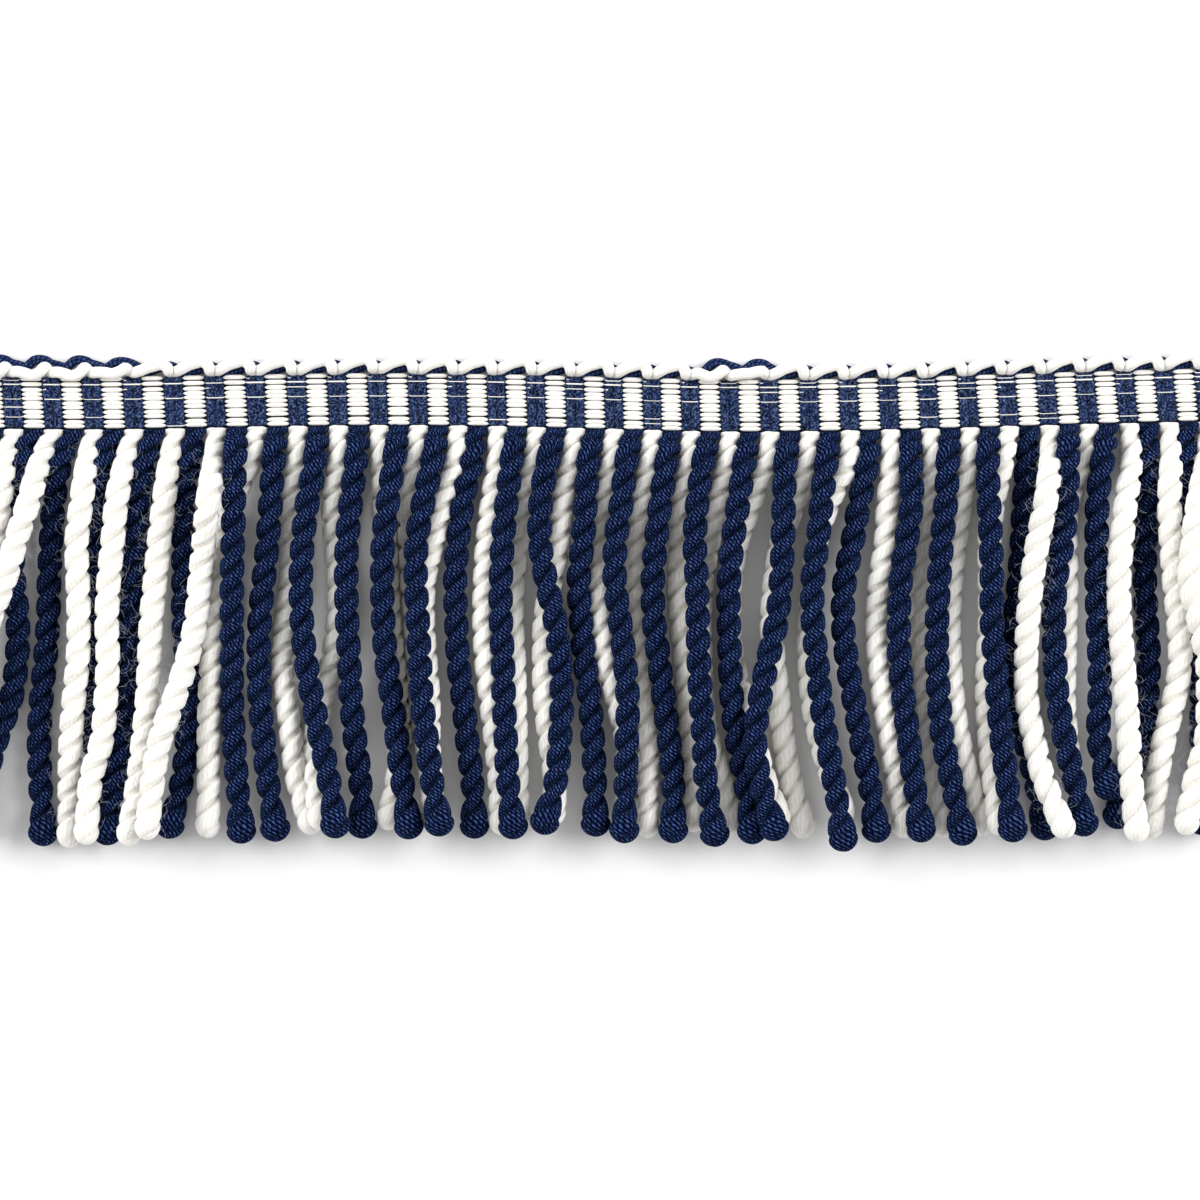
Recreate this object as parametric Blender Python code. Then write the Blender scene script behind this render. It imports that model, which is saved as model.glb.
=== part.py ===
"""Bullion fringe: a woven navy and white heading, two looped edge cords and sixty-two twisted bullions.

The fringe lies face up on a level surface. X runs along the heading, Y up across it and Z off the surface.
The origin is on the heading's flat back, at the middle of its length.
"""

import bisect
from collections import namedtuple

import bmesh
import bpy
from mathutils import Vector

MM = 0.001
GAP = 0.3 * MM

# Heading: a woven band whose repeat is one white block of floats and one navy column
REPEATS = 31
REPEAT = 7.956 * MM
BAND_WIDTH = 10.4 * MM
BAND_HALF_LENGTH = REPEATS * REPEAT / 2
FLOAT_HEIGHT = 2.1 * MM
COLUMN_HEIGHT = 1.7 * MM
GROOVE_HEIGHT = 1.3 * MM
RIBS_FROM_TOP = (0.4, 1.5, 2.6, 3.9, 5.7, 7.5, 9.4)

# The band isn't quite straight: bow lifts it across its width, slide moves the repeats along it
HeadingSection = namedtuple("HeadingSection", "along bow slide")
HEADING_SECTIONS = (
    HeadingSection(-120, 0.1, 0.0),
    HeadingSection(-100, 0.0, 0.1),
    HeadingSection(-80, 0.3, 0.6),
    HeadingSection(-60, 0.6, 1.1),
    HeadingSection(-40, 0.7, 1.3),
    HeadingSection(-20, 0.5, 1.1),
    HeadingSection(0, 0.0, 0.7),
    HeadingSection(20, -0.5, 0.0),
    HeadingSection(40, -0.5, 0.0),
    HeadingSection(60, -0.1, 0.1),
    HeadingSection(80, 0.5, 0.1),
    HeadingSection(100, 1.1, 0.1),
    HeadingSection(120, 1.6, 0.0),
)

# Edge cords: each waves once a repeat along the band's top edge, the white one over the navy one
WavePoint = namedtuple("WavePoint", "along rise")
NAVY_WAVE = (
    WavePoint(0.0, 1.0),
    WavePoint(0.25, 0.6),
    WavePoint(0.5, 0.0),
    WavePoint(0.7, 0.2),
    WavePoint(0.85, 0.7),
)
WHITE_WAVE = (
    WavePoint(0.0, 0.0),
    WavePoint(0.25, 0.3),
    WavePoint(0.5, 0.8),
    WavePoint(0.65, 1.0),
    WavePoint(0.85, 0.5),
)
EDGE_CORD = 2.0 * MM
NAVY_EDGE_CORD = 1.5 * MM
WAVE_RISE = 1.7 * MM
EDGE_CORD_TOP_SHARE = 0.7

# Bullions: the strip that holds each colour, and a four-sided strand for each cord
STRIP_DEPTH = 1.4 * MM
STRIP_THICKNESS = 0.9 * MM
ROOT_WIDTH = 3.0 * MM
ROOT_LENGTH = 3.0 * MM
CORD_WIDTH = 4.4 * MM
CORD_NARROW = 2.4 * MM
CORD_THICKNESS = 4.2 * MM
TIP_WIDTH = 2.4 * MM
TIP_LENGTH = 2.0 * MM
STEP = 7.0 * MM
LIFT_STEP = 0.1 * MM
PROBE = 1.0 * MM
CLEAR = 0.4 * MM

# How far below the hanging line each sway is given; a row's tip comes last, at its own drop
HANGING_LINE = -5.0 * MM
SWAYS_BELOW = (14.4, 30.4, 46.4, 62.4)

# Sways are to the right of the root, in mm. A higher layer lies over the lower ones that it meets
Bullion = namedtuple("Bullion", "upper high low lower tip drop layer")
NAVY_BULLIONS = (
    Bullion(-3.4, -5.4, -7.4, -9.8, -11.4, 82.0, 0),
    Bullion(-3.5, -3.9, -3.5, -5.9, -8.1, 82.4, 0),
    Bullion(-3.8, -4.8, -5.4, -6.8, -5.6, 83.6, 0),
    Bullion(-3.5, -4.3, -4.3, -4.1, -2.9, 82.4, 0),
    Bullion(-3.0, -4.4, -5.2, -6.4, -9.8, 83.4, 0),
    Bullion(-2.5, -3.3, -3.1, -1.9, -6.1, 82.0, 0),
    Bullion(-0.7, -1.1, -1.1, -0.7, 1.1, 83.0, 1),
    Bullion(-1.4, -2.8, -3.8, -2.8, 0.0, 82.6, 1),
    Bullion(-2.2, -3.6, -2.6, 0.4, 3.8, 82.0, 1),
    Bullion(-1.7, -2.7, -2.1, -0.9, 0.7, 82.0, 1),
    Bullion(-2.2, -3.4, -2.6, -0.4, 2.4, 82.2, 1),
    Bullion(-2.9, -4.5, -3.7, -2.3, 0.7, 81.6, 1),
    Bullion(-3.0, -4.6, -4.0, -2.2, -0.6, 82.0, 1),
    Bullion(-1.9, -3.1, -2.7, -2.1, -0.3, 82.2, 1),
    Bullion(-3.1, -2.1, 0.7, 0.7, -3.1, 81.2, 1),
    Bullion(-1.8, -3.2, -2.0, -0.4, 0.2, 81.6, 1),
    Bullion(-2.3, -3.7, -1.7, -1.3, -1.9, 83.0, 1),
    Bullion(-2.2, -3.8, -2.6, -0.6, 0.2, 83.0, 1),
    Bullion(-2.5, -2.7, -2.3, -1.3, 1.3, 83.6, 1),
    Bullion(-2.2, -4.2, -4.0, -2.6, 0.8, 83.2, 1),
    Bullion(-1.2, -1.8, -4.4, -7.0, -2.4, 82.4, 2),
    Bullion(-1.6, -3.4, -2.6, -0.6, 3.0, 84.4, 1),
    Bullion(-2.0, -5.0, -4.6, -1.8, 1.6, 82.8, 1),
    Bullion(0.4, -1.8, -2.0, -0.2, 2.6, 82.8, 1),
    Bullion(-0.8, -2.2, -2.6, -1.4, 3.0, 83.4, 1),
    Bullion(-0.2, 0.4, 1.0, 2.4, 4.8, 82.8, 1),
    Bullion(-1.8, -3.2, -4.0, -2.2, 3.0, 82.4, 0),
    Bullion(-0.6, -2.8, -3.0, -1.0, 3.2, 81.6, 1),
    Bullion(-2.0, -2.2, -1.6, -1.8, 0.6, 74.4, 1),
    Bullion(-0.2, -0.8, 0.0, -1.2, -7.4, 80.0, 0),
    Bullion(-1.2, -0.6, 1.6, 2.0, 2.6, 81.4, 0),
)
WHITE_BULLIONS = (
    Bullion(-2.1, -3.7, -6.1, -9.3, -10.9, 82.0, 1),
    Bullion(-5.4, -8.8, -12.0, -13.6, -14.8, 82.0, 2),
    Bullion(-2.6, -3.0, -3.2, -4.6, -4.8, 84.0, 1),
    Bullion(-3.8, -5.2, -5.4, -6.6, -9.8, 83.4, 1),
    Bullion(-2.5, -4.1, -5.3, -6.5, -9.7, 83.6, 1),
    Bullion(-2.0, -3.4, -6.0, -11.4, -14.2, 82.4, 2),
    Bullion(-1.6, -4.4, -8.4, -9.8, -10.2, 82.0, 0),
    Bullion(-1.9, -3.7, -3.9, -1.7, 3.1, 81.2, 0),
    Bullion(-1.7, -2.1, -2.9, -6.3, -3.9, 80.4, 0),
    Bullion(-0.8, 0.2, 0.4, 1.2, 1.4, 81.4, 0),
    Bullion(-2.4, -2.6, -1.8, -1.0, 0.8, 80.4, 0),
    Bullion(-2.8, -4.6, -4.6, -3.4, -2.4, 80.8, 0),
    Bullion(-2.3, -3.5, -2.9, -1.5, -0.7, 80.8, 0),
    Bullion(-2.1, -3.5, -3.1, -2.7, -1.9, 79.4, 0),
    Bullion(-2.7, -4.3, -6.9, -6.1, -3.5, 80.0, 0),
    Bullion(-2.1, -3.1, -2.1, -0.9, -0.9, 80.4, 0),
    Bullion(-2.1, -3.1, -2.3, -0.7, -1.1, 82.0, 0),
    Bullion(-1.9, -2.7, -1.3, -0.7, 0.1, 80.8, 0),
    Bullion(-2.4, -3.6, -3.4, -2.2, 1.0, 81.2, 0),
    Bullion(-2.7, -5.7, -5.9, -3.1, 3.1, 80.0, 0),
    Bullion(-2.6, -7.6, -7.6, -5.4, -0.8, 82.0, 0),
    Bullion(-2.4, -6.2, -8.8, -7.0, 0.4, 78.8, 0),
    Bullion(-0.4, -2.0, -2.4, -0.2, 2.6, 82.0, 0),
    Bullion(-0.4, -1.4, -1.6, -0.6, 3.2, 82.0, 0),
    Bullion(-1.4, -3.0, -3.2, -1.6, 3.6, 81.4, 0),
    Bullion(-1.5, -2.9, -4.1, -4.1, -2.1, 81.4, 0),
    Bullion(-1.2, -3.6, -4.8, -3.2, 3.6, 82.0, 1),
    Bullion(-1.6, -3.2, -3.6, -2.4, -0.2, 79.4, 0),
    Bullion(-0.4, -1.8, -1.0, 0.4, 1.8, 82.8, 2),
    Bullion(0.0, 1.0, 2.2, -0.4, -3.8, 82.0, 1),
    Bullion(-2.7, -3.7, -1.7, -1.5, -4.9, 81.4, 2),
)

NAVY_YARN = (0.014, 0.026, 0.095, 1.0)
WHITE_YARN = (0.86, 0.86, 0.83, 1.0)
YARN_ROUGHNESS = 0.9

RIGHT = Vector((1.0, 0.0, 0.0))
UP_THE_BAND = Vector((0.0, 1.0, 0.0))

# A section is a four-sided slice: its middle, the way its width runs, its two widths and two heights
Section = namedtuple("Section", "x y across low_width high_width low high")


def clear_scene():
    """Remove every object that the scene starts with."""
    for leftover in list(bpy.data.objects):
        bpy.data.objects.remove(leftover, do_unlink=True)


def curve_value(places, values, at):
    """Value on the smooth curve through the values, whose slope at each follows its neighbours."""
    last = len(places) - 1
    start = min(max(bisect.bisect_right(places, at) - 1, 0), last - 1)
    slopes = []
    for here in (start, start + 1):
        before = max(here - 1, 0)
        after = min(here + 1, last)
        slopes.append((values[after] - values[before]) / (places[after] - places[before]))
    span = places[start + 1] - places[start]
    t = (at - places[start]) / span
    rise = values[start + 1] - values[start]
    bend_in = slopes[0] * span - rise
    bend_out = rise - slopes[1] * span
    return values[start] + t * rise + t * (1 - t) * (bend_in * (1 - t) + bend_out * t)


def heading_place(repeats, across):
    """Place on the bowed band: repeats from its middle, and metres across it, up from its middle."""
    along = repeats * REPEAT
    places = [row.along * MM for row in HEADING_SECTIONS]
    bow = curve_value(places, [row.bow * MM for row in HEADING_SECTIONS], along)
    slide = curve_value(places, [row.slide * MM for row in HEADING_SECTIONS], along)
    return along + slide, across + bow


def corner(section, far_side, high):
    """One of the four corners of a section."""
    width = section.high_width if high else section.low_width
    place = Vector((section.x, section.y, section.high if high else section.low))
    return place + section.across * (width / 2 if far_side else -width / 2)


def start_face(mesh, section):
    """A square face, moved to a section's corners, from which a run of sections grows."""
    square = bmesh.ops.create_grid(mesh, x_segments=1, y_segments=1, size=1.0)["verts"]
    for vert in square:
        vert.co = corner(section, vert.co.x > 0, vert.co.y > 0)
    return square[0].link_faces[0]


def grow(mesh, face, section):
    """Extrude a face to the next section and return the face at the new end."""
    centre = face.calc_center_median()
    inside = face.edges[0].is_manifold
    grown = bmesh.ops.extrude_face_region(mesh, geom=[face])["geom"]
    end = next(item for item in grown if isinstance(item, bmesh.types.BMFace))
    if inside:
        bmesh.ops.delete(mesh, geom=[face], context="FACES_ONLY")
    for vert in end.verts:
        offset = vert.co - centre
        vert.co = corner(section, offset.dot(section.across) > 0, offset.z > 0)
    return end


def strand_route(bullion, root_x, root_y):
    """The places down a bullion and its middle's x at each, as two lists that curve_value reads."""
    belows = SWAYS_BELOW + (bullion.drop,)
    downward = [-root_y] + [below * MM - HANGING_LINE for below in belows]
    sways = (0.0, bullion.upper, bullion.high, bullion.low, bullion.lower, bullion.tip)
    return downward, [root_x + sway * MM for sway in sways]


def strand_sections(bullion, root_x, root_y, strip_low):
    """Sections of one strand from its strip to its tip, all of them level with the surface as yet."""
    downward, middles = strand_route(bullion, root_x, root_y)
    on_floor = bullion.layer == 0
    low_width = CORD_WIDTH if on_floor else CORD_NARROW
    high_width = CORD_NARROW if on_floor else CORD_WIDTH
    tip_y = HANGING_LINE - bullion.drop * MM
    first = root_y - ROOT_LENGTH
    steps = round((first - tip_y - TIP_LENGTH) / STEP)
    step = (first - tip_y - TIP_LENGTH) / steps
    sections = [Section(root_x, root_y, RIGHT, ROOT_WIDTH, ROOT_WIDTH, strip_low, strip_low + STRIP_THICKNESS)]
    for count in range(steps + 1):
        y = first - count * step
        x = curve_value(downward, middles, -y)
        at_root = count == 0
        low = ROOT_WIDTH if at_root else low_width
        high = ROOT_WIDTH if at_root else high_width
        sections.append(Section(x, y, RIGHT, low, high, 0.0, CORD_THICKNESS))
    tip_x = middles[-1]
    sections.append(Section(tip_x, tip_y, RIGHT, TIP_WIDTH, TIP_WIDTH, 0.0, CORD_THICKNESS))
    return sections


def section_at(sections, y):
    """The slice of a strand at y, between the sections on either side, or None beyond its ends."""
    for above, below in zip(sections, sections[1:]):
        if above.y >= y >= below.y:
            t = (above.y - y) / (above.y - below.y)
            mixed = []
            for name in ("x", "low_width", "high_width", "low", "high"):
                mixed.append(getattr(above, name) * (1 - t) + getattr(below, name) * t)
            return Section(mixed[0], y, RIGHT, *mixed[1:])
    return None


def half_width(section, z):
    """Half a section's width at height z."""
    t = (z - section.low) / (section.high - section.low)
    return (section.low_width * (1 - t) + section.high_width * t) / 2


def beside(section, other):
    """True where one section lies clear to the side of another, over the heights that both have."""
    low = max(section.low, other.low)
    high = min(section.high, other.high)
    if low >= high:
        return False
    room = abs(section.x - other.x) - CLEAR
    return all(half_width(section, z) + half_width(other, z) <= room for z in (low, high))


def resting_height(section, others):
    """Lowest height at which a section lies on or beside what is under it, never beneath it."""
    under = []
    for other in others:
        reach = max(section.low_width, section.high_width) + max(other.low_width, other.high_width)
        if abs(section.x - other.x) < reach / 2 + CLEAR:
            under.append(other)
    low = max([0.0] + [other.low for other in under])
    thickness = section.high - section.low
    while True:
        lifted = section._replace(low=low, high=low + thickness)
        if all(low >= other.high + CLEAR or beside(lifted, other) for other in under):
            return low
        low += LIFT_STEP


def settle(sections, placed):
    """Lift a strand's sections so that it rests on the strands that were placed before it."""
    last = len(sections) - 1
    settled = [sections[0]]
    for count in range(1, last + 1):
        start = sections[max(count - 1, 1)].y
        end = sections[min(count + 1, last)].y
        probes = max(1, round((start - end) / PROBE))
        needed = 0.0
        for probe in range(probes + 1):
            y = start + (end - start) * probe / probes
            others = [other for other in (section_at(run, y) for run in placed) if other]
            needed = max(needed, resting_height(section_at(sections, y), others))
        here = sections[count]
        settled.append(here._replace(low=here.low + needed, high=here.high + needed))
    return settled


def place_bullions(strip_lows):
    """Sections of every bullion, both colours settled together, lowest layer first."""
    runs = []
    for colour, bullions in enumerate((NAVY_BULLIONS, WHITE_BULLIONS)):
        for count, bullion in enumerate(bullions):
            repeats = count + (colour - 0.5) / 2 - (REPEATS - 1) / 2
            x, y = heading_place(repeats, -BAND_WIDTH / 2 - GAP - STRIP_DEPTH)
            sections = strand_sections(bullion, x, y, strip_lows[colour])
            runs.append((bullion.layer, colour, count, sections))
    runs.sort(key=lambda run: (run[0], run[1], run[2]))
    placed = []
    colours = ([], [])
    for layer, colour, count, sections in runs:
        settled = settle(sections, placed)
        placed.append(settled)
        colours[colour].append((count, settled))
    return [[sections for count, sections in sorted(pairs)] for pairs in colours]


def fringe_mesh(strands, strip_low):
    """One strip with its strands grown from faces on its lower side."""
    mesh = bmesh.new()
    breaks = [-BAND_HALF_LENGTH]
    for sections in strands:
        breaks += [sections[0].x - ROOT_WIDTH / 2, sections[0].x + ROOT_WIDTH / 2]
    breaks.append(BAND_HALF_LENGTH)
    strip = []
    for x in breaks:
        y = heading_place(x / REPEAT, -BAND_WIDTH / 2 - GAP - STRIP_DEPTH / 2)[1]
        strip.append(
            Section(x, y, UP_THE_BAND, STRIP_DEPTH, STRIP_DEPTH, strip_low, strip_low + STRIP_THICKNESS)
        )
    end = start_face(mesh, strip[0])
    for section in strip[1:]:
        end = grow(mesh, end, section)
    bmesh.ops.recalc_face_normals(mesh, faces=mesh.faces[:])
    fronts = [face for face in mesh.faces if face.normal.y < -0.9]
    fronts.sort(key=lambda face: face.calc_center_median().x)
    for face, sections in zip(fronts[1::2], strands):
        end = face
        for section in sections[1:]:
            end = grow(mesh, end, section)
    return mesh


def edge_cord_mesh(wave, diameter, low):
    """A cord that waves along the top edge of the band, once a repeat."""
    mesh = bmesh.new()
    end = None
    points = [
        (count + point.along - REPEATS / 2, point.rise)
        for count in range(REPEATS)
        for point in wave
    ]
    points.append((REPEATS / 2, wave[0].rise))
    for repeats, rise in points:
        x, y = heading_place(repeats, BAND_WIDTH / 2 + GAP + diameter / 2 + rise * WAVE_RISE)
        high_width = diameter * EDGE_CORD_TOP_SHARE
        section = Section(x, y, UP_THE_BAND, diameter, high_width, low, low + diameter)
        end = grow(mesh, end, section) if end else start_face(mesh, section)
    return mesh


def heading_mesh():
    """The band: a grid raised into ribs and floats, closed by a flat back."""
    rows = [0.0]
    for rib, following in zip(RIBS_FROM_TOP, RIBS_FROM_TOP[1:]):
        rows += [rib, (rib + following) / 2]
    rows += [RIBS_FROM_TOP[-1], BAND_WIDTH / MM]
    columns = [-REPEATS / 2] + [(count - REPEATS + 0.5) / 2 for count in range(2 * REPEATS)] + [REPEATS / 2]
    mesh = bmesh.new()
    last_column = len(columns) - 1
    last_row = len(rows) - 1
    bmesh.ops.create_grid(mesh, x_segments=last_column, y_segments=last_row, size=0.5)
    for vert in mesh.verts:
        column = round((vert.co.x + 0.5) * last_column)
        row = round((vert.co.y + 0.5) * last_row)
        on_rib = row % 2 == 1
        on_float = column % 2 == 1
        height = GROOVE_HEIGHT
        if on_rib:
            height = FLOAT_HEIGHT if on_float else COLUMN_HEIGHT
        x, y = heading_place(columns[column], BAND_WIDTH / 2 - rows[last_row - row] * MM)
        vert.co = (x, y, height)
    grown = bmesh.ops.extrude_face_region(mesh, geom=mesh.faces[:])["geom"]
    back = [item for item in grown if isinstance(item, bmesh.types.BMFace)]
    for item in grown:
        if isinstance(item, bmesh.types.BMVert):
            item.co.z = 0.0
    bmesh.ops.dissolve_faces(mesh, faces=back)
    return mesh


def yarn_material(name, colour):
    """Matt spun yarn."""
    material = bpy.data.materials.new(name)
    material.use_nodes = True
    shader = material.node_tree.nodes["Principled BSDF"]
    shader.inputs["Base Color"].default_value = colour
    shader.inputs["Roughness"].default_value = YARN_ROUGHNESS
    shader.inputs["Metallic"].default_value = 0.0
    return material


def add_piece(collection, name, mesh, material):
    """Close a finished mesh into a named object with its own material."""
    bmesh.ops.recalc_face_normals(mesh, faces=mesh.faces[:])
    data = bpy.data.meshes.new(name)
    mesh.to_mesh(data)
    mesh.free()
    data.materials.append(material)
    piece = bpy.data.objects.new(name, data)
    collection.objects.link(piece)
    return piece


def main():
    """Build the fringe's five pieces."""
    clear_scene()
    fringe = bpy.data.collections.new("bullion_fringe")
    bpy.context.scene.collection.children.link(fringe)
    navy = yarn_material("navy_yarn", NAVY_YARN)
    white = yarn_material("white_yarn", WHITE_YARN)
    white_strip_low = 0.0
    navy_strip_low = STRIP_THICKNESS + GAP
    navy_strands, white_strands = place_bullions((navy_strip_low, white_strip_low))
    add_piece(fringe, "heading", heading_mesh(), yarn_material("heading_yarn", WHITE_YARN))
    add_piece(fringe, "edge_cord_navy", edge_cord_mesh(NAVY_WAVE, NAVY_EDGE_CORD, 0.0), navy)
    white_low = NAVY_EDGE_CORD + GAP
    add_piece(fringe, "edge_cord_white", edge_cord_mesh(WHITE_WAVE, EDGE_CORD, white_low), white)
    add_piece(fringe, "bullions_navy", fringe_mesh(navy_strands, navy_strip_low), navy)
    add_piece(fringe, "bullions_white", fringe_mesh(white_strands, white_strip_low), white)


main()
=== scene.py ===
"""Looks of a bullion fringe: woven navy and white heading, looped edge cords and twisted bullions.

The fringe lies face up on a table. X runs along the heading, Y up across it and Z off the table, in metres.
Sizes in the tables are millimetres, except where a comment says that they are repeats of the weave.
"""

import math
from collections import namedtuple

import bmesh
import bpy
import numpy as np
from bpy.props import FloatProperty, FloatVectorProperty, IntProperty
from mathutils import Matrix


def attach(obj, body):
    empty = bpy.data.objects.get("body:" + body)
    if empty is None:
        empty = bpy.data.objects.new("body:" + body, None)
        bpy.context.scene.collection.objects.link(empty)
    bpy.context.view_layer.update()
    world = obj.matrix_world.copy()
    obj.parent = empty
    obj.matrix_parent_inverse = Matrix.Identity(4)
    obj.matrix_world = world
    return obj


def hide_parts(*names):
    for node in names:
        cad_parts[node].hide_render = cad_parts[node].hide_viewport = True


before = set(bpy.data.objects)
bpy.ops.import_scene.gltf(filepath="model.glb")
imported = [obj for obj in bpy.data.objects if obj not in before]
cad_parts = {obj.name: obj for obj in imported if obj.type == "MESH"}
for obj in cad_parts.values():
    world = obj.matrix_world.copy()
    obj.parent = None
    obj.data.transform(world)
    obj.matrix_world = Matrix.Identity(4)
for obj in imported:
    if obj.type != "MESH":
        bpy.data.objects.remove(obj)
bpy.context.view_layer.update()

bl_info = {
    "name": "Bullion fringe",
    "version": (1, 0, 0),
    "blender": (4, 5, 0),
    "location": "View3D > Sidebar > Bullion fringe",
    "description": "Weaves the heading of a bullion fringe, lays its edge cords and twists its bullions",
    "category": "Add Mesh",
}

MM = 0.001

# The same sizes as in the part's source
REPEATS = 31
REPEAT = 7.956
BAND_WIDTH = 10.4
HALF_BAND = BAND_WIDTH / 2
HANGING_LINE = -5.0

# The band isn't quite straight: bow lifts it, slide moves it along, and lean moves its top edge back
HeadingSection = namedtuple("HeadingSection", "along bow slide lean")
HEADING_SECTIONS = (
    HeadingSection(-120, 0.1, 0.0, 0.8),
    HeadingSection(-100, 0.0, 0.1, 0.8),
    HeadingSection(-80, 0.3, 0.6, 0.7),
    HeadingSection(-60, 0.6, 1.1, 0.6),
    HeadingSection(-40, 0.7, 1.3, 0.5),
    HeadingSection(-20, 0.5, 1.1, 0.4),
    HeadingSection(0, 0.0, 0.7, 0.35),
    HeadingSection(20, -0.5, 0.0, 0.4),
    HeadingSection(40, -0.5, 0.0, 0.5),
    HeadingSection(60, -0.1, 0.1, 0.7),
    HeadingSection(80, 0.5, 0.1, 0.9),
    HeadingSection(100, 1.1, 0.1, 1.1),
    HeadingSection(120, 1.6, 0.0, 1.1),
)

# White warp threads from the band's top edge down. shown is the share of the navy columns that a thread
# passes over, and passes_at is how far down it does so
WarpThread = namedtuple("WarpThread", "across bluntness shown passes_at")
FLOAT_HALF_WIDTH = 0.46
WARP_THREADS = (
    WarpThread(0.4, 6, 0.7, 0.75),
    WarpThread(1.5, 6, 1.0, 1.55),
    WarpThread(2.6, 5, 0.45, 2.55),
    WarpThread(3.55, 4, 0.0, 3.6),
    WarpThread(4.36, 4, 0.9, 4.5),
    WarpThread(5.28, 4, 0.0, 5.3),
    WarpThread(6.1, 4, 0.05, 6.1),
    WarpThread(7.1, 4, 0.0, 7.1),
    WarpThread(7.93, 4, 0.15, 8.1),
    WarpThread(9.05, 4, 0.05, 9.05),
    WarpThread(9.86, 4, 0.1, 10.0),
)

# The edge cords over one repeat, as they stand and where they have slipped down: along in repeats from the
# loop's start, rise in mm over the band's top edge, and height in mm off the table
EdgePoint = namedtuple("EdgePoint", "along rise height slipped_along slipped_rise")
WHITE_EDGE = (
    EdgePoint(0.115, 1.00, 2.0, 0.04, 0.9),
    EdgePoint(0.16, 1.20, 2.6, 0.10, 0.95),
    EdgePoint(0.25, 1.60, 3.0, 0.20, 0.9),
    EdgePoint(0.38, 2.10, 3.1, 0.35, 0.6),
    EdgePoint(0.55, 2.50, 3.15, 0.50, 0.2),
    EdgePoint(0.69, 2.77, 3.15, 0.62, 0.45),
    EdgePoint(0.80, 2.50, 3.15, 0.73, 1.0),
    EdgePoint(0.87, 1.85, 3.15, 0.82, 1.75),
    EdgePoint(0.89, 1.25, 2.9, 0.86, 1.85),
    EdgePoint(0.90, 0.95, 2.0, 0.90, 1.6),
    EdgePoint(1.00, 0.90, 1.2, 0.96, 1.1),
)
NAVY_EDGE = (
    EdgePoint(0.00, 1.75, 1.0, 0.00, 2.7),
    EdgePoint(0.12, 1.00, 1.0, 0.20, 2.3),
    EdgePoint(0.25, 0.40, 1.0, 0.36, 1.9),
    EdgePoint(0.42, 0.70, 1.0, 0.49, 2.6),
    EdgePoint(0.58, 1.10, 1.0, 0.60, 3.3),
    EdgePoint(0.74, 1.50, 1.0, 0.75, 3.5),
    EdgePoint(0.88, 1.75, 1.0, 0.91, 3.2),
)
# How far each loop has slipped, by its count from the left
WHITE_SLIPS = {-1: 1.0, 0: 1.0, 1: 1.0, 2: 0.8, 3: 0.15, 17: 0.9, 18: 0.5}
NAVY_SLIPS = {-1: 1.0, 0: 1.0, 1: 1.0, 2: 0.8, 3: 0.15, 17: 1.0, 18: 0.85}

# How far below the hanging line each sway is given; a row's tip comes last, at its own drop
SWAYS_BELOW = (6.4, 14.4, 22.4, 30.4, 38.4, 46.4, 54.4, 62.4, 70.4)

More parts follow.
